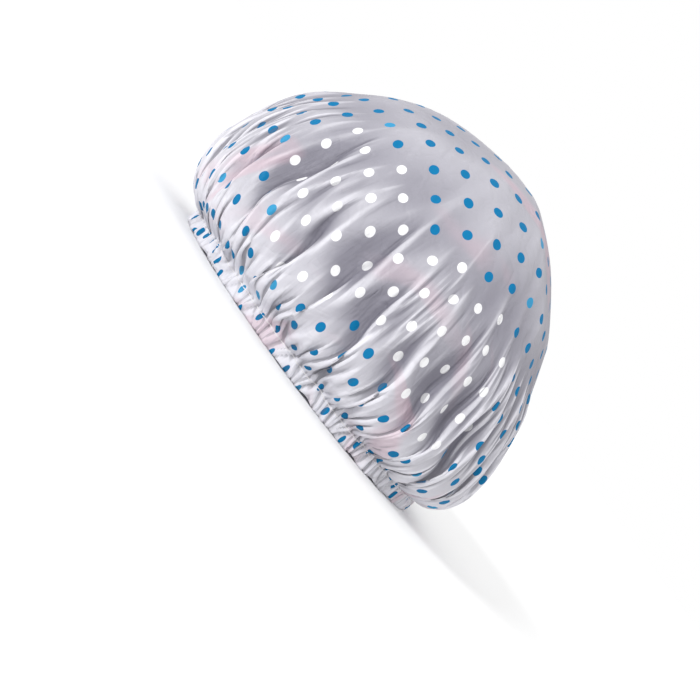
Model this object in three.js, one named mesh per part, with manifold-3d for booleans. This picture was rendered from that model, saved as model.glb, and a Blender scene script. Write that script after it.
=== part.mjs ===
// Shower cap: one disc of thin printed film, gathered at its edge onto an elastic band.
// The edge of the film is turned up on the inside, round the elastic, and closed by one lockstitched seam.
// So the cap comes apart into the film, the elastic, the two threads of the seam and the thread that tacks
// the lapped ends of the elastic together.
// Millimetres. +Z runs from the hem to the crown, -X is the front. The hem rests on z = 0.

import * as THREE from "three";
import { mergeVertices } from "three/addons/utils/BufferGeometryUtils.js";
import Module from "manifold-3d";

// Hem opening, measured on the centre line of the elastic.
const HEM_LENGTH = 200;
const HEM_WIDTH = 156;

// Dome: how far the film overhangs the hem, how high it is widest, and how full it is from there up.
// A fullness of 2 is a quarter of an ellipse, and a lower one is flatter.
const CAP_HEIGHT = 164;
const FRONT_BULGE = 30;
const FRONT_BULGE_HEIGHT = 50;
const FRONT_FULLNESS = 2.05;
const SIDE_BULGE = 25;
const SIDE_BULGE_HEIGHT = 44;
const SIDE_FULLNESS = 1.95;
const BACK_BULGE = 19;
const BACK_BULGE_HEIGHT = 34;
const BACK_FULLNESS = 1.65;

// Film, the gathers of its hem, from their middle to a crest, and its deepest fold above them.
const FILM_THICKNESS = 0.1;
const GATHER_DEPTH = 1.4;
const FOLD_DEPTH = 7;

// The folds that the gathers run together into, in order round the cap: the angle from the back in degrees,
// the share of the depth, and how far up the fold reaches. The dome is widest at 1 and has its crown at 2.
const FOLDS = [
  [0, 0.8, 1.35],
  [14, 0.6, 1.21],
  [27, 1, 1.39],
  [40, 0.7, 1.23],
  [55, 0.9, 1.42],
  [68, 0.6, 1.16],
  [84, 1, 1.35],
  [99, 0.8, 1.26],
  [112, 0.7, 1.16],
  [128, 1, 1.39],
  [143, 0.8, 1.28],
  [157, 0.6, 1.18],
  [171, 0.9, 1.35],
  [186, 0.7, 1.23],
  [199, 0.6, 1.14],
  [212, 0.8, 1.21],
  [227, 1, 1.44],
  [244, 0.8, 1.23],
  [257, 0.9, 1.42],
  [273, 1, 1.28],
  [286, 0.7, 1.23],
  [299, 1, 1.37],
  [309, 0.8, 1.39],
  [320, 0.9, 1.28],
  [333, 0.7, 1.21],
  [347, 0.8, 1.3],
];

// Elastic band in the hem, with its ends lapped at the back and tacked by a running stitch.
const ELASTIC_WIDTH = 5;
const ELASTIC_THICKNESS = 0.8;
const ELASTIC_LAP = 16;
const TACK_STITCH_LENGTH = 3;
const TACK_END_MARGIN = 2;

// Seam above the elastic: the rise of the film to it, the edge left above it, and the lap of its threads.
const SEAM_RISE = 1.7;
const SEAM_ALLOWANCE = 2;
const SEAM_LAP = 14;
const THREAD_DIAMETER = 0.5;

// Clearance between pieces that lie against each other.
const CLEARANCE = 0.3;

// Rings of points on the dome. A rise is 0 at the seam, 1 where the dome is widest and 2 at the crown.
// The folded rings have half as many points as the gathered ones, and the smooth ones half as many again.
const GATHERS_PER_FOLD = 3;
const GATHERED_RISES = [0, 0.14, 0.32, 0.54, 0.78];
const FOLDED_RISES = [0.95, 1.06, 1.16, 1.26, 1.36, 1.47, 1.58];
const SMOOTH_RISES = [1.68, 1.78, 1.87, 1.95];
const ELASTIC_STEPS = 84;
const THREAD_SIDES = 4;
const TACK_STEPS_PER_LAYER = 4;
const HOLE_SIDES = 8;

// Heights in the hem, from the surface that it rests on.
const ELASTIC_BOTTOM = FILM_THICKNESS + CLEARANCE;
const ELASTIC_TOP = ELASTIC_BOTTOM + ELASTIC_WIDTH;
const ELASTIC_MIDDLE = (ELASTIC_BOTTOM + ELASTIC_TOP) / 2;
const TUNNEL_TOP = ELASTIC_TOP + CLEARANCE;
const SEAM_BOTTOM = TUNNEL_TOP + SEAM_RISE;
const SEAM_CLIMB = THREAD_DIAMETER + CLEARANCE;
const SEAM_LINE = SEAM_BOTTOM + CLEARANCE + (THREAD_DIAMETER + SEAM_CLIMB) / 2;
const SEAM_TOP = SEAM_LINE + CLEARANCE + (THREAD_DIAMETER + SEAM_CLIMB) / 2;
const RAW_EDGE = SEAM_LINE + SEAM_ALLOWANCE;

// Distances across the hem, from the centre line of the elastic.
const LAP_STEP = ELASTIC_THICKNESS + CLEARANCE;
const ELASTIC_REACH = (LAP_STEP + ELASTIC_THICKNESS) / 2;
const TACK_REACH = ELASTIC_REACH + CLEARANCE + THREAD_DIAMETER / 2;
const TUNNEL_REACH = ELASTIC_REACH + CLEARANCE + FILM_THICKNESS / 2;
const LAPPED_TUNNEL_REACH = TACK_REACH + CLEARANCE + (THREAD_DIAMETER + FILM_THICKNESS) / 2;
const SEAM_REACH = (CLEARANCE + FILM_THICKNESS) / 2;
const THREAD_REACH = SEAM_REACH + CLEARANCE + (FILM_THICKNESS + THREAD_DIAMETER) / 2;

// How much of the hem one radian takes at the back.
const FULL_TURN = 2 * Math.PI;
const BACK_ARC = HEM_WIDTH / 2;

// Each gather has a point on its crest and one in its valley.
const POINTS_PER_FOLD = 2 * GATHERS_PER_FOLD;
const GATHERED_POINTS = POINTS_PER_FOLD * FOLDS.length;

const wasm = await Module();
wasm.setup();

const filmFinish = new THREE.MeshStandardMaterial({ color: 0xc9c6d0, roughness: 0.35, metalness: 0 });
const elasticFinish = new THREE.MeshStandardMaterial({ color: 0xeeece8, roughness: 0.9, metalness: 0 });
const threadFinish = new THREE.MeshStandardMaterial({ color: 0xf6f6f4, roughness: 0.8, metalness: 0 });

// The direction that faces outwards from the hem's oval, at an angle from the back.
function hemFacing(angle) {
  return new THREE.Vector3(HEM_WIDTH * Math.cos(angle), HEM_LENGTH * Math.sin(angle), 0).normalize();
}

// A point of the hem's oval at an angle, moved outwards by a distance, at a height.
function hemPoint(angle, outwards, height) {
  const along = (HEM_LENGTH / 2) * Math.cos(angle);
  const across = (HEM_WIDTH / 2) * Math.sin(angle);
  return new THREE.Vector3(along, across, height).addScaledVector(hemFacing(angle), outwards);
}

// A value that is given at the front, the sides and the back, at an angle between them.
function around(angle, front, side, back) {
  const end = Math.cos(angle) < 0 ? front : back;
  return side * Math.sin(angle) ** 2 + end * Math.cos(angle) ** 2;
}

// A point of the smooth dome. It turns out from the seam to the widest place, and in from there.
function domePoint(angle, rise) {
  const bulge = around(angle, FRONT_BULGE, SIDE_BULGE, BACK_BULGE);
  const bulgeHeight = around(angle, FRONT_BULGE_HEIGHT, SIDE_BULGE_HEIGHT, BACK_BULGE_HEIGHT);
  if (rise <= 1) {
    const turn = (rise * Math.PI) / 2;
    const height = bulgeHeight - (bulgeHeight - SEAM_TOP) * Math.cos(turn);
    return hemPoint(angle, SEAM_REACH + bulge * Math.sin(turn), height);
  }
  const turn = ((rise - 1) * Math.PI) / 2;
  const power = 2 / around(angle, FRONT_FULLNESS, SIDE_FULLNESS, BACK_FULLNESS);
  const inwards = Math.max(Math.cos(turn), 0) ** power;
  const upwards = Math.sin(turn) ** power;
  const crown = CAP_HEIGHT - FILM_THICKNESS / 2;
  const widest = hemPoint(angle, SEAM_REACH + bulge, 0);
  const height = bulgeHeight + (crown - bulgeHeight) * upwards;
  return new THREE.Vector3(widest.x * inwards, widest.y * inwards, height);
}

// The angle from the back of a fold. The count goes on past the last fold, for one more turn.
function foldAngle(fold) {
  const turns = Math.floor(fold / FOLDS.length);
  const [degrees] = FOLDS[fold - turns * FOLDS.length];
  return THREE.MathUtils.degToRad(degrees) + turns * FULL_TURN;
}

// The angle of a place round the cap. Places count folds, so each whole number is the bottom of a fold.
function placeAngle(place) {
  const fold = Math.floor(place);
  return THREE.MathUtils.lerp(foldAngle(fold), foldAngle(fold + 1), place - fold);
}

// The wave of the gathers along the hem.
function gatherWave(place) {
  return GATHER_DEPTH * Math.cos(FULL_TURN * GATHERS_PER_FOLD * place);
}

// How far the film stands out from the smooth dome: in gathers at the seam, and into the folds above it.
function foldWave(place, rise) {
  const [, share, top] = FOLDS[Math.round(place) % FOLDS.length];
  const gathers = gatherWave(place) * (1 - THREE.MathUtils.smoothstep(rise, 0.1, 0.85));
  const across = (0.5 + 0.5 * Math.cos(FULL_TURN * place)) ** 2;
  const grown = THREE.MathUtils.smoothstep(rise, 0.25, 0.95);
  const faded = THREE.MathUtils.smoothstep(rise, top - 0.35, top + 0.05);
  return gathers - FOLD_DEPTH * share * across * grown * (1 - faded);
}

// A point of the folded dome. It is pushed level with the hem at the seam, and square to the dome above.
function foldedPoint(place, rise) {
  const step = 0.01;
  const angle = placeAngle(place);
  const point = domePoint(angle, rise);
  const upwards = domePoint(angle, rise + step).sub(point);
  const sideways = domePoint(angle + step, rise).sub(point);
  const square = sideways.cross(upwards).normalize();
  const push = hemFacing(angle).lerp(square, THREE.MathUtils.smoothstep(rise, 0, 0.3)).normalize();
  return point.addScaledVector(push, foldWave(place, rise));
}

// How far the film lies from the elastic's centre line. The tunnel is wider at the back, round the lap.
function tunnelReach(angle) {
  const fromBack = Math.abs(Math.atan2(Math.sin(angle), Math.cos(angle))) * BACK_ARC;
  const lapped = 1 - THREE.MathUtils.smoothstep(fromBack, ELASTIC_LAP, 2 * ELASTIC_LAP);
  return THREE.MathUtils.lerp(TUNNEL_REACH, LAPPED_TUNNEL_REACH, lapped);
}

// The film's rings of points, from its raw edge inside the hem, round the elastic, and up to the crown.
function filmRings() {
  const ring = (count, point) => Array.from({ length: count }, (_, i) => point((i / count) * FOLDS.length));
  const domeRings = (count, rises) => rises.map((rise) => ring(count, (place) => foldedPoint(place, rise)));
  const hemRing = (reach, height) => {
    const point = (place) => hemPoint(placeAngle(place), gatherWave(place) + reach(place), height);
    return ring(GATHERED_POINTS, point);
  };
  const insideSeam = () => -SEAM_REACH;
  const insideTunnel = (place) => -GATHER_DEPTH - tunnelReach(placeAngle(place));
  const outsideTunnel = (place) => GATHER_DEPTH + tunnelReach(placeAngle(place));
  const outsideSeam = () => SEAM_REACH;
  return [
    hemRing(insideSeam, RAW_EDGE),
    hemRing(insideSeam, SEAM_BOTTOM),
    hemRing(insideTunnel, TUNNEL_TOP),
    hemRing(insideTunnel, FILM_THICKNESS / 2),
    hemRing(outsideTunnel, FILM_THICKNESS / 2),
    hemRing(outsideTunnel, TUNNEL_TOP),
    hemRing(outsideSeam, SEAM_BOTTOM),
    ...domeRings(GATHERED_POINTS, GATHERED_RISES),
    ...domeRings(GATHERED_POINTS / 2, FOLDED_RISES),
    ...domeRings(GATHERED_POINTS / 4, SMOOTH_RISES),
  ];
}

// Triangles between two rings, of which the upper has as many points as the lower, or half as many.
function ringStrip(lowerStart, lowerCount, upperStart, upperCount) {
  const halved = lowerCount === 2 * upperCount;
  const faces = [];
  for (let i = 0; i < upperCount; i++) {
    const lower = (k) => lowerStart + (((halved ? 2 * i : i) + k) % lowerCount);
    const upper = upperStart + i;
    const nextUpper = upperStart + ((i + 1) % upperCount);
    faces.push(lower(0), lower(1), upper);
    faces.push(lower(1), nextUpper, upper);
    if (halved) faces.push(lower(1), lower(2), nextUpper);
  }
  return faces;
}

// The middle surface of the film, open at its raw edge and closed at the crown.
function filmSurface() {
  const rings = filmRings();
  const points = rings.flat();
  const crown = points.length;
  points.push(new THREE.Vector3(0, 0, CAP_HEIGHT - FILM_THICKNESS / 2));
  const faces = [];
  let start = 0;
  for (let i = 1; i < rings.length; i++) {
    const next = start + rings[i - 1].length;
    faces.push(...ringStrip(start, rings[i - 1].length, next, rings[i].length));
    start = next;
  }
  for (let i = start; i < crown; i++) faces.push(i, i + 1 < crown ? i + 1 : start, crown);
  const surface = new THREE.BufferGeometry().setFromPoints(points).setIndex(faces);
  surface.computeVertexNormals();
  return surface;
}

// The film: half its thickness on each side of its middle surface, closed along the first ring, its raw edge.
// The fold that the hem rests on stays flat: its points move straight down and up.
function film() {
  const surface = filmSurface();
  const middle = surface.getAttribute("position");
  const normals = surface.getAttribute("normal");
  const face = (distance) =>
    Array.from({ length: middle.count }, (_, i) => {
      const normal = new THREE.Vector3().fromBufferAttribute(normals, i);
      const point = new THREE.Vector3().fromBufferAttribute(middle, i);
      const onFloor = point.z < FILM_THICKNESS;
      const height = onFloor ? point.z - distance : point.z + distance * normal.z;
      return point.addScaledVector(normal, distance).setZ(height);
    });
  const faces = [...surface.index.array];
  const printed = [...faces];
  const plain = [];
  for (let i = 0; i < faces.length; i += 3) plain.push(faces[i], faces[i + 2], faces[i + 1]);
  const edge = [];
  for (let i = 0; i < GATHERED_POINTS; i++) {
    const next = (i + 1) % GATHERED_POINTS;
    edge.push(next, i, i + middle.count);
    edge.push(next, i + middle.count, next + middle.count);
  }
  const closed = [...printed, ...plain.map((corner) => corner + middle.count), ...edge];
  const points = [...face(FILM_THICKNESS / 2), ...face(-FILM_THICKNESS / 2)];
  return new THREE.BufferGeometry().setFromPoints(points).setIndex(closed);
}

// A line given by a formula, whose share runs from 0 at its start to 1 at its end.
class FormulaLine extends THREE.Curve {
  constructor(formula) {
    super();
    this.formula = formula;
  }

  getPoint(share, target = new THREE.Vector3()) {
    return target.copy(this.formula(share));
  }

  getPointAt(share, target) {
    return this.getPoint(share, target);
  }

  getTangentAt(share, target) {
    return this.getTangent(share, target);
  }
}

// A thread along a line.
function threadAlong(formula, steps) {
  const section = new THREE.Shape().absarc(0, 0, THREAD_DIAMETER / 2, 0, FULL_TURN);
  const options = {
    steps,
    curveSegments: THREAD_SIDES / 2,
    extrudePath: new FormulaLine(formula),
    bevelEnabled: false,
  };
  return new THREE.ExtrudeGeometry(section, options);
}

// A geometry as a solid that can be cut, and a solid as a geometry.
function toSolid(geometry) {
  const bare = geometry.clone();
  bare.deleteAttribute("normal");
  bare.deleteAttribute("uv");
  const merged = mergeVertices(bare);
  const vertProperties = merged.getAttribute("position").array;
  const triVerts = new Uint32Array(merged.index.array);
  return new wasm.Manifold(new wasm.Mesh({ numProp: 3, vertProperties, triVerts }));
}

function toGeometry(solid) {
  const { vertProperties, triVerts } = solid.getMesh();
  const position = new THREE.BufferAttribute(vertProperties, 3);
  const index = new THREE.BufferAttribute(triVerts, 1);
  return new THREE.BufferGeometry().setAttribute("position", position).setIndex(index);
}

// The angles, each side of the back, at which the tack's thread passes through the lapped ends.
function tackAngles() {
  const stitches = Math.round((ELASTIC_LAP - 2 * TACK_END_MARGIN) / TACK_STITCH_LENGTH);
  const places = Array.from({ length: stitches + 1 }, (_, i) => (i - stitches / 2) * TACK_STITCH_LENGTH);
  return places.map((place) => place / BACK_ARC);
}

// The elastic before its ends are tacked: a flat strip wound once round the hem, from inside its lap out.
function elasticStrip() {
  const turn = FULL_TURN + ELASTIC_LAP / BACK_ARC;
  const points = [];
  for (let i = 0; i <= ELASTIC_STEPS; i++) {
    const fromMiddle = i / ELASTIC_STEPS - 0.5;
    const angle = Math.PI + fromMiddle * turn;
    const inner = fromMiddle * LAP_STEP - ELASTIC_THICKNESS / 2;
    const outer = fromMiddle * LAP_STEP + ELASTIC_THICKNESS / 2;
    points.push(hemPoint(angle, inner, ELASTIC_BOTTOM), hemPoint(angle, inner, ELASTIC_TOP));
    points.push(hemPoint(angle, outer, ELASTIC_TOP), hemPoint(angle, outer, ELASTIC_BOTTOM));
  }
  const last = points.length - 4;
  const faces = [0, 2, 1, 0, 3, 2, last, last + 1, last + 2, last, last + 2, last + 3];
  for (let i = 0; i < last; i += 4) {
    for (let k = 0; k < 4; k++) {
      const a = i + k;
      const b = i + ((k + 1) % 4);
      faces.push(a, b, b + 4);
      faces.push(a, b + 4, a + 4);
    }
  }
  return new THREE.BufferGeometry().setFromPoints(points).setIndex(faces);
}

// The elastic with the holes of the tack.
function elasticBand() {
  const radius = THREAD_DIAMETER / 2 + CLEARANCE;
  let band = toSolid(elasticStrip());
  for (const angle of tackAngles()) {
    const centre = hemPoint(angle, 0, ELASTIC_MIDDLE);
    const hole = new THREE.CylinderGeometry(radius, radius, 2 * LAPPED_TUNNEL_REACH, HOLE_SIDES);
    const along = new THREE.Quaternion().setFromUnitVectors(new THREE.Vector3(0, 1, 0), hemFacing(angle));
    hole.applyQuaternion(along);
    hole.translate(centre.x, centre.y, centre.z);
    band = band.subtract(toSolid(hole));
  }
  return toGeometry(band);
}

// The tack: a running stitch that passes out and in through both ends of the elastic.
function elasticTack() {
  const spots = tackAngles().flatMap((angle, i) => {
    const start = i % 2 === 0 ? TACK_REACH : -TACK_REACH;
    return [start, 0, -start].map((outwards) => hemPoint(angle, outwards, ELASTIC_MIDDLE));
  });
  const line = new THREE.CatmullRomCurve3(spots);
  return threadAlong((share) => line.getPoint(share), TACK_STEPS_PER_LAYER * (spots.length - 1));
}

// A thread of the seam. It follows the gathers on one face of the hem, and its ends pass at the back.
function seamThread(reach) {
  const lapSteps = 2 * Math.round((SEAM_LAP / BACK_ARC / 2) * (GATHERED_POINTS / FULL_TURN));
  const steps = GATHERED_POINTS + lapSteps;
  const line = (share) => {
    const place = (share * steps - lapSteps / 2) / POINTS_PER_FOLD;
    return hemPoint(placeAngle(place), gatherWave(place) + reach, SEAM_LINE + (share - 0.5) * SEAM_CLIMB);
  };
  return threadAlong(line, steps);
}

function piece(name, geometry, finish) {
  const mesh = new THREE.Mesh(geometry, finish);
  mesh.name = name;
  return mesh;
}

const cap = new THREE.Group();
cap.add(piece("cap_film", film(), filmFinish));
cap.add(piece("elastic_band", elasticBand(), elasticFinish));
cap.add(piece("elastic_tack", elasticTack(), threadFinish));
cap.add(piece("seam_needle_thread", seamThread(THREAD_REACH), threadFinish));
cap.add(piece("seam_bobbin_thread", seamThread(-THREAD_REACH), threadFinish));

// The origin is under the middle of the whole cap, on the surface that it rests on.
const middle = new THREE.Box3().setFromObject(cap).getCenter(new THREE.Vector3());
cap.position.set(-middle.x, -middle.y, 0);

const part = new THREE.Group();
part.add(cap);
export default part;
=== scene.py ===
"""Shower cap: dotted frosted film, gathered by a woven elastic in a stitched hem, dressed over its solids."""

import math

import bmesh
import bpy
import numpy as np
from mathutils import Matrix, Vector
from mathutils.bvhtree import BVHTree


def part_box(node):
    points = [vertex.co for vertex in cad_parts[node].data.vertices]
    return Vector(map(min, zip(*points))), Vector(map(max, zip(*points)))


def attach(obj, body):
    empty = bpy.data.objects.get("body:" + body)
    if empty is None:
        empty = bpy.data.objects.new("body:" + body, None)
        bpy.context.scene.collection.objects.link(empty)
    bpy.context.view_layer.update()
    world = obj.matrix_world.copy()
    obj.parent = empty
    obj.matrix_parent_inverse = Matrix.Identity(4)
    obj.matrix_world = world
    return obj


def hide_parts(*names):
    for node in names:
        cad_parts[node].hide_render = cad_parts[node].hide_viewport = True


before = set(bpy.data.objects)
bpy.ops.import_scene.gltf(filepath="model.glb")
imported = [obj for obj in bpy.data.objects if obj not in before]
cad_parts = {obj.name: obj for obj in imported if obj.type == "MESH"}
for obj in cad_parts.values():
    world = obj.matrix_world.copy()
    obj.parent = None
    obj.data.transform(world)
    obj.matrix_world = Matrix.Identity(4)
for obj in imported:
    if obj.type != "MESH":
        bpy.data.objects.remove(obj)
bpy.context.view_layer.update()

MM = 0.001
FULL_TURN = 2 * math.pi

# The cap's own sizes in millimetres, as the solids have them.
HEM_LENGTH = 200
HEM_WIDTH = 156
CAP_HEIGHT = 164
FRONT_BULGE = 30
FRONT_BULGE_HEIGHT = 50
FRONT_FULLNESS = 2.05
SIDE_BULGE = 25
SIDE_BULGE_HEIGHT = 44
SIDE_FULLNESS = 1.95
BACK_BULGE = 19
BACK_BULGE_HEIGHT = 34
BACK_FULLNESS = 1.65
FILM_THICKNESS = 0.1
ELASTIC_THICKNESS = 0.8
ELASTIC_LAP = 16
LAP_STEP = 1.1
TUNNEL_REACH = 1.3
LAPPED_TUNNEL_REACH = 2.1
SEAM_REACH = 1.5
SEAM_ALLOWANCE = 2
THREAD_DIAMETER = 0.5
TACK_STITCH_LENGTH = 3
TACK_STITCHES = 4

# Where the solids lie in the frame: the seam's thread goes evenly round the middle of the hem.
seam_low, seam_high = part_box("seam_needle_thread")
HEM_CENTRE = np.array([(seam_low.x + seam_high.x) / 2, (seam_low.y + seam_high.y) / 2, 0]) / MM
SEAM_LINE = (seam_low.z + seam_high.z) / 2 / MM
SEAM_TOP = SEAM_LINE + 1
ELASTIC_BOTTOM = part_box("elastic_band")[0].z / MM
ELASTIC_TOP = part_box("elastic_band")[1].z / MM


# Camera

# The photograph's frame: its size in pixels and the two ends of the hem in it.
PHOTO_SIZE = 700
HEM_FRONT_PIXEL = (192, 222)
HEM_BACK_PIXEL = (400, 505)
CAMERA_ELEVATION = math.radians(4)
LENS = 90
SENSOR = 36


def add_camera():
    """The camera looks at the cap's near side, turned so that the hem slants as in the photograph."""
    slant = Vector(HEM_BACK_PIXEL) - Vector(HEM_FRONT_PIXEL)
    mm_per_pixel = HEM_LENGTH / slant.length
    along = slant.normalized()
    middle = (Vector(HEM_FRONT_PIXEL) + Vector(HEM_BACK_PIXEL)) / 2
    offset = (Vector((PHOTO_SIZE, PHOTO_SIZE)) / 2 - middle) * mm_per_pixel
    aim_x = offset.x * along.x + offset.y * along.y + HEM_CENTRE[0]
    aim_z = offset.x * along.y - offset.y * along.x
    aim = Vector((aim_x, HEM_CENTRE[1], aim_z)) * MM
    distance = PHOTO_SIZE * mm_per_pixel * MM * LENS / SENSOR
    level = Vector((1, 0, 0))
    forward = Vector((0, math.cos(CAMERA_ELEVATION), -math.sin(CAMERA_ELEVATION)))
    upright = level.cross(forward)
    right = along.x * level + along.y * upright
    up = along.x * upright - along.y * level
    turn = Matrix((right, up, -forward)).transposed().to_4x4()
    camera = bpy.data.objects.new("camera", bpy.data.cameras.new("camera"))
    camera.data.lens = LENS
    camera.data.sensor_width = SENSOR
    camera.matrix_world = Matrix.Translation(aim - distance * forward) @ turn
    bpy.context.scene.collection.objects.link(camera)
    bpy.context.scene.camera = camera


add_camera()


# Node trees


def put(tree, kind, inputs=(), **settings):
    """Adds a node with its settings, and fills its inputs with values or links."""
    node = tree.nodes.new(kind)
    for name, value in settings.items():
        setattr(node, name, value)
    for key, value in dict(inputs).items():
        if isinstance(value, bpy.types.NodeSocket):
            tree.links.new(value, node.inputs[key])
        else:
            node.inputs[key].default_value = value
    return node


def calc(tree, operation, *values):
    return put(tree, "ShaderNodeMath", enumerate(values), operation=operation).outputs[0]


def vector_calc(tree, operation, *values):
    node = put(tree, "ShaderNodeVectorMath", enumerate(values), operation=operation)
    return node.outputs["Value" if operation in ("LENGTH", "DISTANCE", "DOT_PRODUCT") else "Vector"]


def spread(tree, value, low, high, new_low=0, new_high=1):
    """Maps a value from one range to another with soft ends."""
    inputs = {0: value, 1: low, 2: high, 3: new_low, 4: new_high}
    return put(tree, "ShaderNodeMapRange", inputs, interpolation_type="SMOOTHSTEP").outputs[0]


def mix(tree, share, first, second):
    return put(tree, "ShaderNodeMix", {0: share, 6: first, 7: second}, data_type="RGBA").outputs[2]


def noise(tree, place, scale, detail=2, distortion=0):
    inputs = {"Vector": place, "Scale": scale, "Detail": detail, "Distortion": distortion}
    return put(tree, "ShaderNodeTexNoise", inputs).outputs["Fac"]


def bump(tree, height, distance, strength, normal=None):
    inputs = {"Height": height, "Distance": distance * MM, "Strength": strength}
    if normal:
        inputs["Normal"] = normal
    return put(tree, "ShaderNodeBump", inputs).outputs[0]


def new_material(name):
    material = bpy.data.materials.new(name)
    material.use_nodes = True
    material.node_tree.nodes.clear()
    return material, material.node_tree


def srgb(red, green, blue):
    """A colour that is given in the photograph's own 0 to 255 values, as light."""
    shares = [value / 255 for value in (red, green, blue)]
    return (*[c / 12.92 if c <= 0.04045 else ((c + 0.055) / 1.055) ** 2.4 for c in shares], 1)


# Film

# The main folds in order round the cap, as the solid has them: angle from the back in degrees, share of the
# depth, and how far up each reaches, where the dome is widest at 1 and has its crown at 2.
FOLDS = (
    (0, 0.8, 1.35),
    (14, 0.6, 1.21),
    (27, 1, 1.39),
    (40, 0.7, 1.23),
    (55, 0.9, 1.42),
    (68, 0.6, 1.16),
    (84, 1, 1.35),
    (99, 0.8, 1.26),
    (112, 0.7, 1.16),
    (128, 1, 1.39),
    (143, 0.8, 1.28),
    (157, 0.6, 1.18),
    (171, 0.9, 1.35),
    (186, 0.7, 1.23),
    (199, 0.6, 1.14),
    (212, 0.8, 1.21),
    (227, 1, 1.44),
    (244, 0.8, 1.23),
    (257, 0.9, 1.42),
    (273, 1, 1.28),
    (286, 0.7, 1.23),
    (299, 1, 1.37),
    (309, 0.8, 1.39),
    (320, 0.9, 1.28),
    (333, 0.7, 1.21),
    (347, 0.8, 1.3),
)
FOLD_DEPTH = 12
FOLD_LEAN = 0.5
FOLD_DRIFT = 0.25

# The film's grid: columns go round the cap, and rows go from the crown to the seam.
COLUMNS_PER_FOLD = 30
COLUMNS = COLUMNS_PER_FOLD * len(FOLDS)
ROWS = 48
CROWN_SHARE = 0.04
ROW_CROWDING = 1.2
FLAT_SIZE = 560
SEED = 7

# The dome: how it leaves the seam, and the room that the film has inside and outside its outline.
LIP_STEEPNESS = 0.4
FOLD_ROOM = 15
CROWN_ROOM = 7
OUTER_ROOM = 0.8
INSET = 2.0

# The share of the flat disc's extra length that the film keeps, halfway down and at the hem.
BELLY_FULLNESS = 0.5
HEM_FULLNESS = 0.6

# The gathers, as counts round the hem with their shares of the depth.
GATHERS = ((88, 0.6), (142, 0.5))
GATHER_DEPTH = 1.8

# The hem waves up from where it rests, and its gathers lean by some columns. Each wave is a count and a phase.
HEM_LIFT = 1.3
LIFT_WAVES = ((7, 0.4), (13, 1.3), (19, 2.2), (29, 4.1))
LIFT_FADE = (9, 30)
HEM_SLANT = 3.5
SLANT_WAVES = ((11, 0.7), (23, 2.9), (37, 5.1))

# How stiffly the film keeps its lengths. Down the cap it is also held over a span of rows: pleats run straight.
RELAX_STEPS = 240
STRETCH = 1.0
SHEAR = 0.5
BEND = 0.04
BEND_DOWN = 0.4
SPAN = 5
STRAIGHTENING = 3
FINEST_RIPPLE = 9
RIPPLE_FADE = (0.4, 0.7)

# Where the film is held up, as angles in degrees at a rise. It spans flat between these places.
SUPPORTS = (
    (0.95, (2, 21, 48, 70, 96, 118, 146, 167, 189, 214, 238, 262, 291, 312, 338)),
    (1.22, (10, 44, 77, 110, 139, 180, 208, 246, 281, 316, 344)),
    (1.5, (0, 52, 105, 150, 196, 231, 276, 322)),
    (1.68, (24, 128, 180, 255, 300)),
    (1.9, (0, 90, 200, 290)),
)
SPAN_SHARE = 0.4
SPAN_FADE = (0.85, 1.25)
SPAN_MIDDLE = 60


def smoothstep(value, low, high):
    share = np.clip((value - low) / (high - low), 0, 1)
    return share * share * (3 - 2 * share)


def around(angle, front, side, back):
    """A value that is given at the front, the sides and the back, at an angle between them."""
    end = np.where(np.cos(angle) < 0, front, back)
    return side * np.sin(angle) ** 2 + end * np.cos(angle) ** 2


def hem_lift(angle):
    """How far the gathered hem waves up between the places where it rests."""
    wave = sum(np.sin(count * angle + phase) for count, phase in LIFT_WAVES) / 2
    return HEM_LIFT * smoothstep(wave, 0, 1.5)


def hem_point(angle, outwards, height):
    """A point at an angle from the back of the hem's oval, moved outwards, at a height."""
    height = height + hem_lift(angle) * (1 - smoothstep(height, *LIFT_FADE))
    facing = np.stack([HEM_WIDTH * np.cos(angle), HEM_LENGTH * np.sin(angle), 0 * angle], -1)
    facing = facing / np.linalg.norm(facing, axis=-1, keepdims=True)
    oval = np.stack([HEM_LENGTH / 2 * np.cos(angle), HEM_WIDTH / 2 * np.sin(angle), height + 0 * angle], -1)
    return oval + facing * np.asarray(outwards)[..., None]


def dome_point(angle, rise):
    """A point of the smooth dome: rise is 0 at the seam, 1 where it is widest and 2 at the crown."""
    bulge = around(angle, FRONT_BULGE, SIDE_BULGE, BACK_BULGE)
    middle = around(angle, FRONT_BULGE_HEIGHT, SIDE_BULGE_HEIGHT, BACK_BULGE_HEIGHT)
    power = 2 / around(angle, FRONT_FULLNESS, SIDE_FULLNESS, BACK_FULLNESS)
    low_turn = np.clip(rise, 0, 1) * math.pi / 2
    steep = 1 + LIP_STEEPNESS * np.sin(angle) ** 2
    low = middle - (middle - SEAM_TOP) * np.cos(low_turn)
    lip = hem_point(angle, bulge * np.sin(low_turn) ** steep, low)
    high_turn = np.clip(rise - 1, 0, 1) * math.pi / 2
    upwards = np.sin(high_turn) ** power
    crown = hem_point(angle, bulge, middle + (CAP_HEIGHT - middle) * upwards)
    crown[..., :2] *= (np.clip(np.cos(high_turn), 0, 1) ** power)[..., None]
    return np.where((rise <= 1)[..., None], lip, crown)


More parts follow.
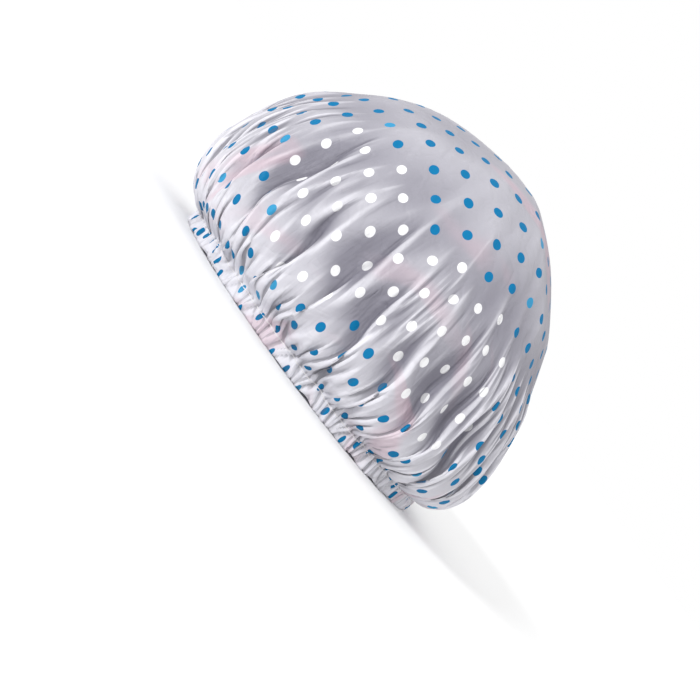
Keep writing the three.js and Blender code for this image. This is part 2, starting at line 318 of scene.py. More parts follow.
def film_grid():
    """Angles, rises and distances from the crown of the film's points, in rows from the crown to the seam."""
    turns = np.array([fold[0] for fold in FOLDS] + [FOLDS[0][0] + 360])
    angle = np.radians(np.interp(np.arange(COLUMNS) / COLUMNS_PER_FOLD, np.arange(len(turns)), turns))
    fine = np.linspace(2, 0, 400)
    path = dome_point(*np.broadcast_arrays(angle[:, None], fine[None, :]))
    steps = np.linalg.norm(np.diff(path, axis=1), axis=-1)
    length = np.concatenate([np.zeros((COLUMNS, 1)), np.cumsum(steps, axis=1)], axis=1)
    share = CROWN_SHARE + (1 - CROWN_SHARE) * (1 - (1 - np.linspace(0, 1, ROWS)) ** ROW_CROWDING)
    rise = np.stack([np.interp(share * length[j, -1], length[j], fine) for j in range(COLUMNS)], 1)
    return np.broadcast_to(angle, rise.shape), rise, share[:, None] * length[None, :, -1]


def spanned(smooth, rise):
    """The dome with its film spanned flat over the crown, between the places that hold it up."""
    inside = Vector((0, 0, SPAN_MIDDLE))
    hull = bmesh.new()
    for level, turns in SUPPORTS:
        for point in dome_point(np.radians(turns), np.full(len(turns), level)):
            hull.verts.new(point)
    for point in dome_point(np.radians(np.arange(0, 360, 12)), np.full(30, 0.5)):
        hull.verts.new(point)
    bmesh.ops.convex_hull(hull, input=hull.verts)
    tree = BVHTree.FromBMesh(hull)
    hull.free()
    fade = SPAN_SHARE * smoothstep(rise, *SPAN_FADE)
    flat = smooth.reshape(-1, 3).copy()
    for number, (point, share) in enumerate(zip(flat.tolist(), fade.ravel().tolist())):
        if share > 0:
            hit = tree.ray_cast(inside, (Vector(point) - inside).normalized())[0]
            if hit:
                flat[number] += share * (np.array(hit) - flat[number])
    return flat.reshape(smooth.shape)


def ring_lengths(points):
    return np.linalg.norm(np.roll(points, -1, axis=1) - points, axis=-1)


def outward_normals(points):
    across = np.roll(points, -1, axis=1) - np.roll(points, 1, axis=1)
    down = np.gradient(points, axis=0)
    normal = np.cross(down, across)
    return normal / np.maximum(np.linalg.norm(normal, axis=-1, keepdims=True), 1e-9)


def main_folds(rise, rng):
    """The main folds' valleys: each runs up from the hem, drifts aside and fades out below the crown."""
    place = np.arange(COLUMNS) / COLUMNS_PER_FOLD
    drift = np.interp(place, np.arange(len(FOLDS)), FOLD_DRIFT * rng.uniform(-1, 1, len(FOLDS)))
    place = place + drift * smoothstep(rise, 0.2, 1.4)
    nearest = np.round(place).astype(int)
    across = (0.5 + 0.5 * np.cos(FULL_TURN * (place - nearest))) ** 2
    depth = np.array([fold[1] for fold in FOLDS])[nearest % len(FOLDS)]
    top = np.array([fold[2] for fold in FOLDS])[nearest % len(FOLDS)]
    along = smoothstep(rise, 0.1, 0.95) * (1 - smoothstep(rise, top - 0.35, top + 0.05))
    return -FOLD_DEPTH * depth * across * along


def fine_folds(share, excess, radius, gathers, rng):
    """The finer waves that take up the rest of the film's extra length towards the hem."""
    angle = np.arange(COLUMNS) / COLUMNS * FULL_TURN
    halves = 2 * len(FOLDS) * angle + 2 * (1 - share) * np.sin(4 * angle + rng.uniform(0, FULL_TURN))
    for harmonic in (3, 5, 7, 11):
        halves = halves + rng.uniform(-1, 1) * np.sin(harmonic * angle + rng.uniform(0, FULL_TURN))
    offset = np.zeros_like(share)
    for wave, count, start, peak, end in (
        (np.cos(halves), 2 * len(FOLDS), 0.6, 0.88, 1.02),
        (gathers, GATHERS[0][0], 0.8, 1.0, 1.6),
    ):
        weight = smoothstep(share, start, peak) * (1 - smoothstep(share, peak, end))
        slope = np.sqrt(2.5 * excess * weight) * (1 + 0.3 * excess)
        offset = offset + slope * radius / count * wave
    return offset


def gather_wave(rng):
    """The gathers along the hem: two uneven waves that beat, so that no two gathers are alike."""
    angle = np.arange(COLUMNS) / COLUMNS * FULL_TURN
    wave = np.zeros(COLUMNS)
    for count, height in GATHERS:
        phase = count * angle + rng.uniform(0, FULL_TURN)
        for harmonic in (7, 13, 22, 31, 43):
            swing = rng.uniform(0.4, 1) * 14 / harmonic
            phase = phase + swing * np.sin(harmonic * angle + rng.uniform(0, FULL_TURN))
        wave = wave + height * np.cos(phase)
    return wave


def clamp_room(points):
    """Keeps the film between the outline of the cap and the room that its folds have inside it."""
    x, y, z = points[..., 0], points[..., 1], points[..., 2]
    angle = np.arctan2(y / HEM_WIDTH, x / HEM_LENGTH)
    bulge = around(angle, FRONT_BULGE, SIDE_BULGE, BACK_BULGE)
    middle = around(angle, FRONT_BULGE_HEIGHT, SIDE_BULGE_HEIGHT, BACK_BULGE_HEIGHT)
    power = around(angle, FRONT_FULLNESS, SIDE_FULLNESS, BACK_FULLNESS)
    widest = np.linalg.norm(hem_point(angle, bulge, 0)[..., :2], axis=-1)
    reach = np.maximum(np.hypot(x, y), 1e-6)
    room = FOLD_ROOM + (CROWN_ROOM - FOLD_ROOM) * smoothstep(z, 70, 150)
    up = np.maximum(z - middle, 0) / (CAP_HEIGHT - middle)
    size = ((reach / widest) ** power + up**power) ** (1 / power)
    high_scale = np.clip(size, 1 - room / widest, 1 + OUTER_ROOM / widest) / size
    low = np.sqrt(np.clip(1 - ((middle - z) / (middle - SEAM_TOP + 2)) ** 2, 0, 1))
    low = low ** (1 + LIP_STEEPNESS * np.sin(angle) ** 2)
    outer = widest - bulge * (1 - low) + OUTER_ROOM
    inner = outer - np.minimum(room, 4 + 0.5 * bulge * low)
    low_scale = np.clip(reach, inner, outer) / reach
    high = z > middle
    scale = np.where(high, high_scale, low_scale)
    return np.stack([x * scale, y * scale, np.where(high, middle + (z - middle) * high_scale, z)], -1)


def link_sets(ring, column):
    """Sets of links in which no point has two: along rows, down columns, across, over two and over a span."""
    index = np.arange(ROWS * COLUMNS).reshape(ROWS, COLUMNS)
    right = np.roll(index, -1, axis=1)
    right2 = np.roll(index, -2, axis=1)
    over = ring + np.roll(ring, -1, axis=1)
    sets = []

    def add(first, second, rest, stiffness):
        sets.append((first.ravel(), second.ravel(), rest.ravel(), stiffness))

    for odd in (0, 1):
        add(index[:, odd::2], right[:, odd::2], ring[:, odd::2], STRETCH)
    for odd in (0, 1):
        rows = np.arange(odd, ROWS - 1, 2)
        across = np.sqrt(ring[rows] * ring[rows + 1] + column[rows] ** 2)
        add(index[rows], index[rows + 1], column[rows], STRETCH)
        add(index[rows], right[rows + 1], across, SHEAR)
        add(right[rows], index[rows + 1], across, SHEAR)
    for odd in (0, 1):
        columns = np.flatnonzero(np.arange(COLUMNS) // 2 % 2 == odd)
        rows = np.flatnonzero(np.arange(ROWS - 2) // 2 % 2 == odd)
        add(index[:, columns], right2[:, columns], over[:, columns], BEND)
        add(index[rows], index[rows + 2], column[rows] + column[rows + 1], BEND_DOWN)
    length = np.concatenate([np.zeros((1, COLUMNS)), np.cumsum(column, axis=0)])
    for odd in (0, 1):
        rows = np.flatnonzero(np.arange(ROWS - SPAN) // SPAN % 2 == odd)
        add(index[rows], index[rows + SPAN], length[rows + SPAN] - length[rows], BEND_DOWN)
    return sets


def pull(points, first, second, rest, stiffness, weights):
    """Moves the ends of one set of links towards their rest length."""
    gap = points[second] - points[first]
    length = np.maximum(np.linalg.norm(gap, axis=-1), 1e-9)
    weight_first, weight_second = weights[first], weights[second]
    share = stiffness * (1 - rest / length) / np.maximum(weight_first + weight_second, 1e-9)
    points[first] += gap * (share * weight_first)[:, None]
    points[second] -= gap * (share * weight_second)[:, None]


def relax(points, ring, column):
    """Lets the film find its folds: it keeps its lengths, stays in its room and is held at the seam."""
    sets = link_sets(ring, column)
    weights = np.ones((ROWS, COLUMNS))
    weights[-1] = 0
    held = points[-1].copy()
    for _ in range(RELAX_STEPS):
        loose = points.reshape(-1, 3)
        for first, second, rest, stiffness in sets:
            pull(loose, first, second, rest, stiffness, weights.ravel())
        points = clamp_room(loose.reshape(ROWS, COLUMNS, 3))
        points[-1] = held
    return points


def calm_crown(points, smooth, share):
    """Straightens the film's ripples down the cap, and takes the finest ones out above the gathers."""
    ripples = points - smooth
    for _ in range(STRAIGHTENING):
        ripples[1:-1] = (ripples[:-2] + 2 * ripples[1:-1] + ripples[2:]) / 4
    waves = np.fft.rfft(ripples, axis=1)
    finest = ring_lengths(smooth).sum(axis=1) / FINEST_RIPPLE
    kept = np.exp(-((np.arange(waves.shape[1]) / finest[:, None]) ** 4))
    calm = np.fft.irfft(waves * kept[..., None], COLUMNS, axis=1)
    return smooth + calm + smoothstep(share, *RIPPLE_FADE)[..., None] * (ripples - calm)


def tunnel_reach(angle):
    """How far the tunnel's film lies from the elastic: it is wider at the back, round the tacked lap."""
    from_back = np.abs((angle + math.pi) % FULL_TURN - math.pi) * HEM_WIDTH / 2
    lapped = 1 - smoothstep(from_back, ELASTIC_LAP, 2 * ELASTIC_LAP)
    return TUNNEL_REACH + (LAPPED_TUNNEL_REACH - TUNNEL_REACH) * lapped


def leaning_gather(angle, gather, height):
    """The gathers at a height below the seam, where they lean to and fro along the hem."""
    column = np.arange(COLUMNS)
    slant = sum(np.sin(count * angle + phase) for count, phase in SLANT_WAVES)
    return np.interp(column + HEM_SLANT * slant * (1 - height / SEAM_LINE), column, gather, period=COLUMNS)


def hem_rows(angle, gather):
    """The film below the seam: down outside the elastic, under it and up inside it to its raw edge."""
    reach = tunnel_reach(angle)
    profile = (
        (SEAM_LINE, "seam", 0.1),
        (SEAM_LINE - 1.1, "seam", 0.2),
        (ELASTIC_TOP + 0.5, "outside", -0.1),
        (ELASTIC_TOP - 1.4, "outside", 0),
        (1.4, "outside", 0),
        (0.22, "outside", -0.4),
        (0.07, "middle", 0),
        (0.22, "inside", 0.4),
        (1.4, "inside", 0),
        (ELASTIC_TOP - 1.4, "inside", 0),
        (ELASTIC_TOP + 0.5, "inside", 0.4),
        (SEAM_LINE - 1.1, "seam", -0.4),
        (SEAM_LINE, "seam", -0.3),
        (SEAM_LINE + SEAM_ALLOWANCE, "seam", -0.9),
    )
    rows = []
    for height, side, further in profile:
        here = leaning_gather(angle, gather, min(height, SEAM_LINE))
        outside = np.maximum(here + reach + 0.4, reach - 0.25)
        inside = np.minimum(here - reach - 0.4, 0.25 - reach)
        middle = (outside + inside) / 2
        sides = {"seam": here + SEAM_REACH, "outside": outside, "middle": middle, "inside": inside}
        rows.append(hem_point(angle, sides[side] + further, height))
    return np.stack(rows)


def extra_length(smooth, angles, distance, share):
    """How much longer each row of the film is than the smooth dome there, as a share of the dome's length."""
    flat_ring = ring_lengths(np.stack([distance * np.cos(angles), distance * np.sin(angles)], -1))
    fullness = BELLY_FULLNESS + (HEM_FULLNESS - BELLY_FULLNESS) * smoothstep(share, 0.75, 1)
    return smoothstep(share, 0.2, 0.5) * fullness * np.maximum(flat_ring / ring_lengths(smooth) - 1, 0)


def folded(smooth, angles, rise, share, excess, gathers, rng):
    """The dome with its folds pressed in, which lean towards the back on both sides."""
    radius = np.broadcast_to(ring_lengths(smooth).sum(axis=1)[:, None] / FULL_TURN, angles.shape)
    even_excess = np.broadcast_to(excess.mean(axis=1)[:, None], angles.shape)
    folds = main_folds(rise, rng)
    offset = folds + fine_folds(share, even_excess, radius, gathers, rng) - INSET * smoothstep(share, 0.2, 0.5)
    aside = np.roll(smooth, -1, axis=1) - np.roll(smooth, 1, axis=1)
    aside = aside / np.linalg.norm(aside, axis=-1, keepdims=True)
    lean = FOLD_LEAN * np.sin(angles) * folds
    return clamp_room(smooth + outward_normals(smooth) * offset[..., None] + aside * lean[..., None])


def shape_film():
    """The film's rows of points, its flat cut, and how far each point stands out from the smooth dome."""
    rng = np.random.default_rng(SEED)
    angles, rise, distance = film_grid()
    dome = dome_point(angles, rise)
    smooth = spanned(dome, rise)
    share = np.broadcast_to((distance / distance[-1]).mean(axis=1)[:, None], angles.shape)
    excess = extra_length(smooth, angles, distance, share)
    gathers = gather_wave(rng)
    gather = GATHER_DEPTH * gathers
    points = folded(smooth, angles, rise, share, excess, gathers, rng)
    points[-1] = hem_point(angles[-1], gather + SEAM_REACH, SEAM_TOP)
    ring = ring_lengths(smooth) * (1 + excess)
    column = np.linalg.norm(np.diff(smooth, axis=0), axis=-1)
    points = calm_crown(relax(points, ring, column), smooth, share)
    standing = ((points - dome) * outward_normals(smooth)).sum(axis=-1)
    hem = hem_rows(angles[-1], gather)
    steps = np.linalg.norm(np.diff(np.concatenate([points[-1:], hem]), axis=0), axis=-1).mean(axis=1)
    distance = np.concatenate([distance, distance[-1] + np.cumsum(steps)[:, None]])
    turn = np.broadcast_to(angles[0], distance.shape)
    flat = np.stack([distance * np.cos(turn), distance * np.sin(turn)], -1)
    standing = np.concatenate([standing, np.broadcast_to(gather + 2, hem.shape[:2])])
    return np.concatenate([points, hem]), flat, standing


def ring_bend(rows, facing):
    """How sharply the film bends along its rows, per millimetre: above 0 on a ridge and below 0 in a valley."""
    before, after = np.roll(rows, 2, axis=1), np.roll(rows, -2, axis=1)
    width = np.linalg.norm(after - rows, axis=-1) + np.linalg.norm(before - rows, axis=-1)
    bend = -4 * ((before + after - 2 * rows) * facing).sum(axis=-1) / np.maximum(width, 0.5) ** 2
    return bend * smoothstep(width, 1.5, 3)


def ring_mesh(name, rows, flat, standing):
    """A mesh through rows of points that close on themselves, with a fan of faces at the crown."""
    count = rows.shape[1]
    index = np.arange(rows[..., 0].size).reshape(rows.shape[:2])
    after = np.roll(index, -1, axis=1)
    quads = np.stack([index[:-1], index[1:], after[1:], after[:-1]], -1).reshape(-1, 4)
    fan = np.stack([np.full(count, index.size), index[0], after[0]], -1)
    points = np.concatenate([rows.reshape(-1, 3), rows[0].mean(axis=0)[None]])
    mesh = bpy.data.meshes.new(name)
    mesh.from_pydata(((points + HEM_CENTRE) * MM).tolist(), [], quads.tolist() + fan.tolist())
    mesh.polygons.foreach_set("use_smooth", np.ones(len(mesh.polygons), dtype=bool))
    corners = np.empty(len(mesh.loops), dtype=np.int32)
    mesh.loops.foreach_get("vertex_index", corners)
    cut = np.concatenate([flat.reshape(-1, 2), np.zeros((1, 2))]) / FLAT_SIZE + 0.5
    mesh.uv_layers.new(name="flat_cut").data.foreach_set("uv", cut[corners].astype(np.float32).ravel())
    bend = ring_bend(rows, outward_normals(rows))
    for label, values in (("standing", standing), ("bend", bend)):
        layer = mesh.attributes.new(label, "FLOAT", "POINT")
        layer.data.foreach_set("value", np.concatenate([values.ravel(), [0]]).astype(np.float32))
    mesh.update()
    return mesh


PANEL_GREY = srgb(151, 149, 161)
# The pale of the ridges, also used for the painted highlight on creases and the painted light at the hem.
PALE_AND_HIGHLIGHT = srgb(240, 239, 245)
BLUSH = srgb(226, 190, 202)
# The colour of the painted shade in narrow valleys.
SHADE = srgb(96, 94, 108)
BLUE = srgb(0, 128, 182)
LIGHT_BLUE = srgb(62, 165, 212)
WHITE = srgb(252, 252, 253)
FACET_HEIGHT = 8
FACET_SHARE = 0.32
CREASE_HEIGHT = 3.2
WRINKLE_HEIGHT = 2
WRINKLE_SHARE = 0.4
CRINKLE_HEIGHT = 0.5
CRINKLE_SHARE = 0.2
FROST_HEIGHT = 0.03
FROST_SHARE = 0.15
THROUGH = 0.3
DOT_SPACING = 19
DOT_DIAMETER = 6.2
DOT_EDGE = 0.2
DOT_TURN = math.pi / 4
LIGHT_DOTS_FROM = 0.92
# The white dots on the near side, as the corners of two patches in the flat cut. All other dots are blue.
WHITE_PATCHES = (
    ((-96, -66), (-134, -100), (-89, -178), (0, -178), (-12, -114)),
    ((-20, -178), (132, -152), (128, -98), (58, -86), (-12, -114)),
)


def patch_share(tree, place, corners):
    """1 for a place in the flat cut that lies inside an outline without hollow corners, and 0 outside it."""
    middle = np.mean(corners, axis=0)
    inside = None
    for start, end in zip(corners, corners[1:] + corners[:1]):
        along = np.subtract(end, start)
        facing = np.array([along[1], -along[0]]) / np.hypot(*along)
        if facing @ (middle - start) < 0:
            facing = -facing
        depth = vector_calc(tree, "DOT_PRODUCT", place, (*facing.tolist(), 0))
        depth = calc(tree, "SUBTRACT", depth, float(facing @ np.array(start)))
        inside = depth if inside is None else calc(tree, "MINIMUM", inside, depth)
    return calc(tree, "GREATER_THAN", inside, 0.0)


def turned(tree, place, angle):
    inputs = {"Vector": place, "Angle": angle}
    return put(tree, "ShaderNodeVectorRotate", inputs, rotation_type="Z_AXIS").outputs[0]


def sharp_creases(tree, place, scale, detail, distortion):
    """Ridges with sharp edges, along the lines where a noise has its middle value."""
    waves = noise(tree, place, scale, detail=detail, distortion=distortion)
    return calc(tree, "ABSOLUTE", calc(tree, "SUBTRACT", waves, 0.5))


def dotted_print(tree, place):
    """The dots' share of the film at a place in the flat cut, and their ink."""
    lattice = vector_calc(tree, "DIVIDE", turned(tree, place, DOT_TURN), (DOT_SPACING, DOT_SPACING, 1))
    cell = vector_calc(tree, "FLOOR", lattice)
    centre = vector_calc(tree, "ADD", cell, (0.5, 0.5, 0))
    apart = calc(tree, "MULTIPLY", vector_calc(tree, "DISTANCE", lattice, centre), float(DOT_SPACING))
    chance = put(tree, "ShaderNodeTexWhiteNoise", {"Vector": cell}, noise_dimensions="2D").outputs["Value"]
    edge = calc(tree, "SUBTRACT", apart, calc(tree, "MULTIPLY", chance, 0.15))
    dot = spread(tree, edge, DOT_DIAMETER / 2 - DOT_EDGE, DOT_DIAMETER / 2, 1, 0)
    centre = vector_calc(tree, "MULTIPLY", centre, (DOT_SPACING, DOT_SPACING, 0))
    centre = turned(tree, centre, -DOT_TURN)
    white = calc(tree, "MAXIMUM", *(patch_share(tree, centre, corners) for corners in WHITE_PATCHES))
    blue = mix(tree, calc(tree, "GREATER_THAN", chance, LIGHT_DOTS_FROM), BLUE, LIGHT_BLUE)
    return dot, mix(tree, white, blue, WHITE)


def film_colour(tree, place, out, dot, ink):
    """Milky grey, pale on ridges, lighter on convex creases (stress whitening and painted highlight) and at the
    bunched hem (partly painted light), with a faint blush, the print, and painted shade in narrow valleys.
    """
    standing = put(tree, "ShaderNodeAttribute", attribute_name="standing").outputs["Fac"]
    bend = put(tree, "ShaderNodeAttribute", attribute_name="bend").outputs["Fac"]
    ridge = spread(tree, standing, -6, 3, 0, 0.6)
    # Lighter along convex creases: partly stress whitening of the film, partly painted highlight.
    crease_pale_and_highlight = spread(tree, bend, 0.02, 0.3, 0, 0.5)
    # Lighter towards the hem: the film is bunched there, and this is partly painted light against the shade the
    # hem has near the floor.
    bunched_and_lit = spread(tree, out, 165, 238, 0, 0.65)
    pale_and_lit = calc(tree, "MINIMUM", calc(tree, "ADD", calc(tree, "ADD", ridge, crease_pale_and_highlight), bunched_and_lit), 1.0)
    milk = mix(tree, pale_and_lit, PANEL_GREY, PALE_AND_HIGHLIGHT)
    cloud = noise(tree, vector_calc(tree, "MULTIPLY", place, (0.4, 1.4, 0)), 0.018, detail=2, distortion=0.8)
    milk = mix(tree, spread(tree, cloud, 0.55, 0.68, 0, 0.4), milk, BLUSH)
    colour = mix(tree, dot, milk, ink)
    # Painted shade in narrow valleys, weaker towards the hem.
    valley = spread(tree, bend, -0.3, -0.03, 0.45, 0)
    valley_shade = calc(tree, "MULTIPLY", valley, spread(tree, out, 215, 240, 1, 0.3))
    return mix(tree, valley_shade, colour, SHADE)


def film_surface(tree, place, out, crinkle):
    """The film's fine relief: flat facets, creases, crinkles, wrinkles that run to the hem, and frost."""
    spoke = vector_calc(tree, "MULTIPLY", vector_calc(tree, "NORMALIZE", place), (45, 45, 0))
    along = put(tree, "ShaderNodeCombineXYZ", {2: calc(tree, "MULTIPLY", out, 0.03)}).outputs[0]
    wrinkle = sharp_creases(tree, vector_calc(tree, "ADD", spoke, along), 1.0, 2, 0.4)
    wrinkle = calc(tree, "MULTIPLY", wrinkle, spread(tree, out, 70, 200, 0, 1))
    frost = noise(tree, place, 2.5, detail=2)
    surface = bump(tree, sharp_creases(tree, place, 0.035, 1, 0.8), FACET_HEIGHT, FACET_SHARE)
    surface = bump(tree, sharp_creases(tree, place, 0.09, 1, 0.8), CREASE_HEIGHT, FACET_SHARE, surface)
    surface = bump(tree, crinkle, CRINKLE_HEIGHT, CRINKLE_SHARE, surface)
    surface = bump(tree, wrinkle, WRINKLE_HEIGHT, WRINKLE_SHARE, surface)
    return bump(tree, frost, FROST_HEIGHT, FROST_SHARE, surface)


def frosted_film():
    """Milky film with a soft sheen that lets light through, printed with blue and white dots."""
    material, tree = new_material("frosted_film")
    cut = put(tree, "ShaderNodeUVMap", uv_map="flat_cut").outputs[0]
    place = vector_calc(tree, "SUBTRACT", cut, (0.5, 0.5, 0))
    place = vector_calc(tree, "MULTIPLY", place, (FLAT_SIZE, FLAT_SIZE, FLAT_SIZE))
    out = vector_calc(tree, "LENGTH", place)
    dot, ink = dotted_print(tree, place)
    crinkle = noise(tree, place, 0.12, detail=4, distortion=1.5)
    colour = film_colour(tree, place, out, dot, ink)
    surface = film_surface(tree, place, out, crinkle)
    body = put(
        tree,
        "ShaderNodeBsdfPrincipled",
        {
            "Base Color": colour,
            "Roughness": spread(tree, crinkle, 0.2, 0.8, 0.44, 0.6),
            "Normal": surface,
            "Specular IOR Level": spread(tree, dot, 0, 1, 0.42, 0.2),
        },
    )
    through = put(tree, "ShaderNodeBsdfTranslucent", {"Color": colour, "Normal": surface})
    both = put(tree, "ShaderNodeMixShader", {0: THROUGH, 1: body.outputs[0], 2: through.outputs[0]})
    put(tree, "ShaderNodeOutputMaterial", {"Surface": both.outputs[0]})
    return material


def add_object(name, mesh, material):
    piece = bpy.data.objects.new(name, mesh)
    piece.data.materials.append(material)
    bpy.context.scene.collection.objects.link(piece)
    return piece


film_points, film_flat, film_standing = shape_film()
film_mesh = ring_mesh("printed_film", film_points, film_flat, film_standing)
film = add_object("printed_film", film_mesh, frosted_film())
walls = film.modifiers.new("walls", "SOLIDIFY")
walls.thickness = FILM_THICKNESS * MM
walls.offset = 0


# Elastic

ELASTIC_STEPS = 420
ELASTIC_CORDS = 6


def woven_elastic():
    """White elastic with a rib for each of its rubber cords, and fine crossing yarns."""
    material, tree = new_material("woven_elastic")
    place = put(tree, "ShaderNodeUVMap", uv_map="along_across").outputs[0]
    parts = put(tree, "ShaderNodeSeparateXYZ", {0: place})
    along = calc(tree, "MULTIPLY", parts.outputs[0], FULL_TURN * 1000)
    across = calc(tree, "MULTIPLY", parts.outputs[1], FULL_TURN * ELASTIC_CORDS)
    yarns = calc(tree, "MULTIPLY", calc(tree, "SINE", along), calc(tree, "COSINE", across))
    fuzz = noise(tree, place, 900.0, detail=3)
    shade = spread(tree, calc(tree, "ADD", yarns, fuzz), -1, 2)
    colour = mix(tree, shade, srgb(205, 201, 194), srgb(243, 241, 236))
    surface = bump(tree, yarns, 0.12, 0.7)
    body = put(tree, "ShaderNodeBsdfPrincipled", {"Base Color": colour, "Roughness": 0.85, "Normal": surface})
    put(tree, "ShaderNodeOutputMaterial", {"Surface": body.outputs[0]})
    return material


def elastic_mesh():
    """The ribbed strip, wound once round the hem from inside its lap to outside."""
    turn = FULL_TURN + ELASTIC_LAP / (HEM_WIDTH / 2)
    across = np.linspace(0, 1, 6 * ELASTIC_CORDS + 1)
    rib = 0.66 + 0.34 * np.abs(np.sin(np.pi * ELASTIC_CORDS * across)) ** 0.7
    height = ELASTIC_BOTTOM + (ELASTIC_TOP - ELASTIC_BOTTOM) * across
    side = np.concatenate([rib, -rib[::-1]]) * ELASTIC_THICKNESS / 2
    heights = np.concatenate([height, height[::-1]])
    shares = np.concatenate([across, across[::-1]])
    steps = np.linspace(-0.5, 0.5, ELASTIC_STEPS + 1)
    count = side.size
    rows = np.stack(
        [hem_point(np.full(count, math.pi + step * turn), step * LAP_STEP + side, heights) for step in steps]
    )
    index = np.arange(rows[..., 0].size).reshape(rows.shape[:2])
    after = np.roll(index, -1, axis=1)
    quads = np.stack([index[:-1], after[:-1], after[1:], index[1:]], -1).reshape(-1, 4)
    mesh = bpy.data.meshes.new("elastic")
    ends = [index[0, ::-1].tolist(), index[-1].tolist()]
    mesh.from_pydata(((rows.reshape(-1, 3) + HEM_CENTRE) * MM).tolist(), [], quads.tolist() + ends)
    length = np.concatenate([[0], np.cumsum(np.linalg.norm(np.diff(rows[:, 0], axis=0), axis=-1))]) * MM
    corners = np.empty(len(mesh.loops), dtype=np.int32)
    mesh.loops.foreach_get("vertex_index", corners)
    place = np.stack([length[corners // count], shares[corners % count]], -1)
    mesh.uv_layers.new(name="along_across").data.foreach_set("uv", place.astype(np.float32).ravel())
    mesh.polygons.foreach_set("use_smooth", np.ones(len(mesh.polygons), dtype=bool))
    mesh.update()
    return mesh


elastic = add_object("ribbed_elastic", elastic_mesh(), woven_elastic())


# Stitches

STITCH_LENGTH = 2.2
STITCH_GAP = 0.05
STITCH_SIDES = 6
STITCH_STEPS = 5


def spun_thread():
    """White sewing thread with the slant of its two plies."""
    material, tree = new_material("spun_thread")
    place = put(tree, "ShaderNodeTexCoord").outputs["Object"]
    plies = put(tree, "ShaderNodeTexWave", {"Vector": place, "Scale": 900.0, "Distortion": 1.5, "Detail": 2.0})
    colour = mix(tree, plies.outputs["Fac"], srgb(214, 211, 214), srgb(250, 249, 248))
    surface = bump(tree, plies.outputs["Fac"], 0.05, 0.6)
    body = put(tree, "ShaderNodeBsdfPrincipled", {"Base Color": colour, "Roughness": 0.7, "Normal": surface})
    put(tree, "ShaderNodeOutputMaterial", {"Surface": body.outputs[0]})
    return material


def stitch_tree():
    """Geometry nodes that lay one short arched stitch after another along a line, on its outer side."""
    tree = bpy.data.node_groups.new("stitch_row", "GeometryNodeTree")
    sockets = {}
    tree.interface.new_socket("Geometry", in_out="INPUT", socket_type="NodeSocketGeometry")
    for name, kind in (
        ("Stitch Length", "NodeSocketFloat"),
        ("Thread Diameter", "NodeSocketFloat"),
        ("Thread", "NodeSocketMaterial"),
    ):
        sockets[name] = tree.interface.new_socket(name, in_out="INPUT", socket_type=kind).identifier
    tree.interface.new_socket("Geometry", in_out="OUTPUT", socket_type="NodeSocketGeometry")
    given = put(tree, "NodeGroupInput").outputs
    line = put(tree, "GeometryNodeMeshToCurve", {"Mesh": given["Geometry"]}).outputs[0]
    spacing = {"Curve": line, "Length": given["Stitch Length"]}
    line = put(tree, "GeometryNodeResampleCurve", spacing, mode="LENGTH").outputs[0]
    tangent = put(tree, "GeometryNodeInputTangent").outputs[0]
    label = {"Name": "outwards"}
    outwards = put(tree, "GeometryNodeInputNamedAttribute", label, data_type="FLOAT_VECTOR").outputs[0]
    turn = put(
        tree,
        "FunctionNodeAxesToRotation",
        {"Primary Axis": tangent, "Secondary Axis": outwards},
        primary_axis="X",
        secondary_axis="Z",
    ).outputs[0]
    half = calc(tree, "MULTIPLY", given["Stitch Length"], 0.47)
    dip = calc(tree, "MULTIPLY", given["Thread Diameter"], -0.45)
    lift = calc(tree, "MULTIPLY", given["Thread Diameter"], 0.95)
    start = put(tree, "ShaderNodeCombineXYZ", {0: calc(tree, "MULTIPLY", half, -1.0), 2: dip}).outputs[0]
    top = put(tree, "ShaderNodeCombineXYZ", {2: lift}).outputs[0]
    end = put(tree, "ShaderNodeCombineXYZ", {0: half, 2: dip}).outputs[0]
    arch = put(
        tree,
        "GeometryNodeCurveQuadraticBezier",
        {"Resolution": STITCH_STEPS, "Start": start, "Middle": top, "End": end},
    ).outputs[0]
    ring = put(
        tree,
        "GeometryNodeCurvePrimitiveCircle",
        {"Resolution": STITCH_SIDES, "Radius": calc(tree, "MULTIPLY", given["Thread Diameter"], 0.5)},
    ).outputs[0]
    swept = {"Curve": arch, "Profile Curve": ring, "Fill Caps": True}
    stitch = put(tree, "GeometryNodeCurveToMesh", swept).outputs[0]
    copies = {"Points": line, "Instance": stitch, "Rotation": turn}
    placed = put(tree, "GeometryNodeInstanceOnPoints", copies).outputs[0]
    real = put(tree, "GeometryNodeRealizeInstances", {"Geometry": placed}).outputs[0]
    dressed = put(tree, "GeometryNodeSetMaterial", {"Geometry": real, "Material": given["Thread"]}).outputs[0]
    put(tree, "NodeGroupOutput", {"Geometry": dressed})
    return tree, sockets


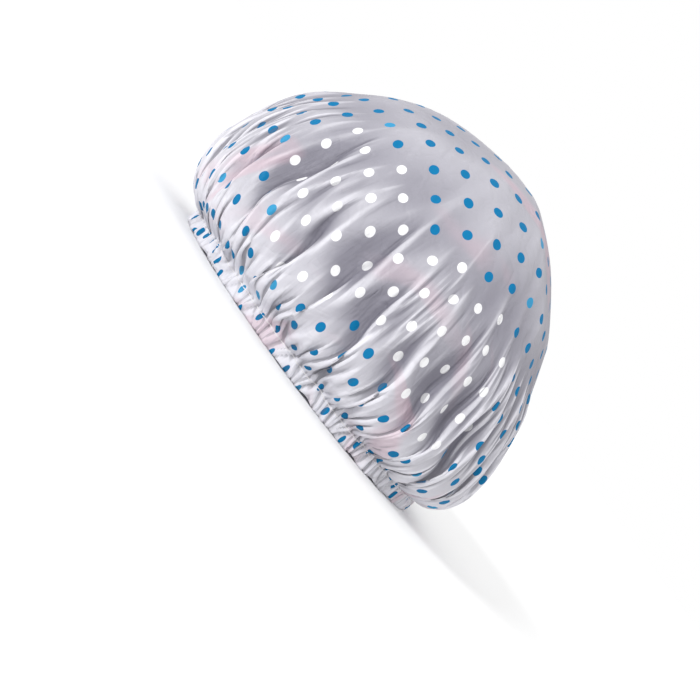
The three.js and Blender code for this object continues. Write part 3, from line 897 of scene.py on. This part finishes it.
def stitch_row(name, seam, outwards, tree, sockets, material):
    """A row of stitches along the closed line of a seam, on one side of the film, made a plain mesh."""
    count = len(seam)
    line = bpy.data.meshes.new(name + "_line")
    edges = [(i, (i + 1) % count) for i in range(count)]
    line.from_pydata(((seam + STITCH_GAP * outwards + HEM_CENTRE) * MM).tolist(), edges, [])
    layer = line.attributes.new("outwards", "FLOAT_VECTOR", "POINT")
    layer.data.foreach_set("vector", outwards.astype(np.float32).ravel())
    guide = bpy.data.objects.new(name + "_line", line)
    bpy.context.scene.collection.objects.link(guide)
    row = guide.modifiers.new("stitches", "NODES")
    row.node_group = tree
    row[sockets["Stitch Length"]] = STITCH_LENGTH * MM
    row[sockets["Thread Diameter"]] = THREAD_DIAMETER * MM
    row[sockets["Thread"]] = material
    shown = guide.evaluated_get(bpy.context.evaluated_depsgraph_get())
    mesh = bpy.data.meshes.new_from_object(shown)
    mesh.name = name
    guide.modifiers.remove(row)
    bpy.data.objects.remove(guide)
    mesh.polygons.foreach_set("use_smooth", np.ones(len(mesh.polygons), dtype=bool))
    piece = bpy.data.objects.new(name, mesh)
    bpy.context.scene.collection.objects.link(piece)
    return piece


def sideways(points):
    """The level direction at right angles to a closed line, on its outer side."""
    along = np.roll(points, -1, axis=0) - np.roll(points, 1, axis=0)
    across = np.stack([along[:, 1], -along[:, 0], 0 * along[:, 0]], -1)
    return across / np.linalg.norm(across, axis=-1, keepdims=True)


thread = spun_thread()
stitches, stitch_sockets = stitch_tree()
outer_seam = film_points[ROWS]
inner_seam = film_points[-2]
needle = stitch_row("needle_stitches", outer_seam, sideways(outer_seam), stitches, stitch_sockets, thread)
bobbin = stitch_row("bobbin_stitches", inner_seam, -sideways(inner_seam), stitches, stitch_sockets, thread)


def tack_mesh():
    """The running stitch that passes out and in through both ends of the elastic."""
    reach = ELASTIC_THICKNESS + LAP_STEP / 2 + 0.15
    places = (np.arange(TACK_STITCHES + 1) - TACK_STITCHES / 2) * TACK_STITCH_LENGTH / (HEM_WIDTH / 2)
    middle = (ELASTIC_BOTTOM + ELASTIC_TOP) / 2
    line = bpy.data.curves.new("tack_line", "CURVE")
    line.dimensions = "3D"
    line.bevel_depth = THREAD_DIAMETER / 2 * MM
    line.bevel_resolution = 2
    line.use_fill_caps = True
    path = line.splines.new("POLY")
    spots = []
    for turn, angle in enumerate(places):
        side = reach if turn % 2 == 0 else -reach
        for share in np.cos(np.linspace(0, math.pi, 9)):
            spots.append(hem_point(np.array(angle), np.array(side * share), middle))
    path.points.add(len(spots) - 1)
    for point, spot in zip(path.points, spots):
        point.co = (*((spot + HEM_CENTRE) * MM), 1)
    guide = bpy.data.objects.new("tack_line", line)
    bpy.context.scene.collection.objects.link(guide)
    mesh = bpy.data.meshes.new_from_object(guide.evaluated_get(bpy.context.evaluated_depsgraph_get()))
    mesh.name = "tack_stitches"
    bpy.data.objects.remove(guide)
    return mesh


tack = add_object("tack_stitches", tack_mesh(), thread)


# Pieces in the frame

for piece, node, slot in (
    (film, "cap_film", "film"),
    (elastic, "elastic_band", "elastic"),
    (needle, "seam_needle_thread", "thread"),
    (bobbin, "seam_bobbin_thread", "thread"),
    (tack, "elastic_tack", "thread"),
):
    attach(piece, "root")
    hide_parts(node)


# Stage

FLOOR_SIZE = 40
SKY_STRENGTH = 1.0
LIGHT_STRENGTH = 1.9
LIGHT_SPREAD = 15
LIGHT_FROM = (-0.6, -0.75, 0.35)


def pale_floor():
    material, tree = new_material("pale_floor")
    place = put(tree, "ShaderNodeTexCoord").outputs["Object"]
    colour = mix(tree, noise(tree, place, 3.0), (0.93, 0.93, 0.93, 1), (0.95, 0.95, 0.95, 1))
    finish = {"Base Color": colour, "Roughness": 1.0, "Specular IOR Level": 0.0}
    body = put(tree, "ShaderNodeBsdfPrincipled", finish)
    put(tree, "ShaderNodeOutputMaterial", {"Surface": body.outputs[0]})
    return material


def add_stage():
    """A pale floor under a white sky, with one broad soft light."""
    half = FLOOR_SIZE / 2
    mesh = bpy.data.meshes.new("floor")
    corners = [(-half, -half, 0), (half, -half, 0), (half, half, 0), (-half, half, 0)]
    mesh.from_pydata(corners, [], [(0, 1, 2, 3)])
    add_object("floor", mesh, pale_floor())
    scene = bpy.context.scene
    scene.view_settings.view_transform = "Standard"
    scene.world = bpy.data.worlds.new("studio")
    scene.world.use_nodes = True
    sky = scene.world.node_tree.nodes["Background"]
    sky.inputs["Color"].default_value = (1, 1, 1, 1)
    sky.inputs["Strength"].default_value = SKY_STRENGTH
    lamp = bpy.data.objects.new("soft_light", bpy.data.lights.new("soft_light", "SUN"))
    lamp.data.energy = LIGHT_STRENGTH
    lamp.data.angle = math.radians(LIGHT_SPREAD)
    lamp.rotation_euler = Vector(LIGHT_FROM).to_track_quat("Z", "Y").to_euler()
    scene.collection.objects.link(lamp)


add_stage()
